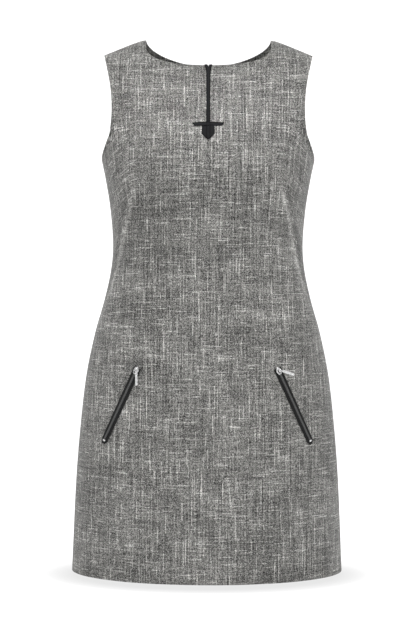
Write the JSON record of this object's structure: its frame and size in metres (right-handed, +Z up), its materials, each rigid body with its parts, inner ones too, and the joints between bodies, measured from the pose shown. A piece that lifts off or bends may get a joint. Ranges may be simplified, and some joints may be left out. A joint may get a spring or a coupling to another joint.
{
  "type": "a-line dress, as worn, hollow, held up at the shoulders",
  "caption": "Sleeveless grey tweed A-line dress filled out as worn, with a slit neck trimmed in black and slanted pocket zips.",
  "frame": {"origin": "midway between the two neck points, where the wearer's shoulders hold the dress", "axes": "+Z up, -Y the front of the dress, +X to the right of someone who faces the front"},
  "size_m": [0.4484, 0.31, 0.8799],
  "materials": {
    "tweed": "matte slubbed plain weave in greys",
    "trim": "black faux leather, satin",
    "zip_tape": "black woven tape",
    "zip_coil": "dark grey coil",
    "bright_metal": "bright polished"
  },
  "bodies": {
    "dress": {"front_panel": "tweed", "back_panel": "tweed", "slit_binding_left": "trim", "slit_binding_right": "trim", "slit_crossbar": "trim", "slit_tab": "trim", "zip_tape_left": "zip_tape", "zip_tape_right": "zip_tape", "zip_coil_left": "zip_coil", "zip_coil_right": "zip_coil", "zip_stop_left": "bright_metal", "zip_stop_right": "bright_metal", "zip_slider_left": "bright_metal", "zip_slider_right": "bright_metal"},
    "pull_left": {"zip_pull_left": "bright_metal"},
    "pull_right": {"zip_pull_right": "bright_metal"}
  },
  "joints": [
    {"name": "pull_left_lift", "type": "hinge", "parent": "dress", "child": "pull_left", "pos_m": [-0.11382, -0.10968, -0.54329], "axis": [-0.9198, 0.3911, -0.0321], "range_deg": [0, 150]},
    {"name": "pull_right_lift", "type": "hinge", "parent": "dress", "child": "pull_right", "pos_m": [0.11719, -0.10837, -0.54451], "axis": [-0.2203, -0.2026, -0.9542], "range_deg": [0, 150]}
  ]
}
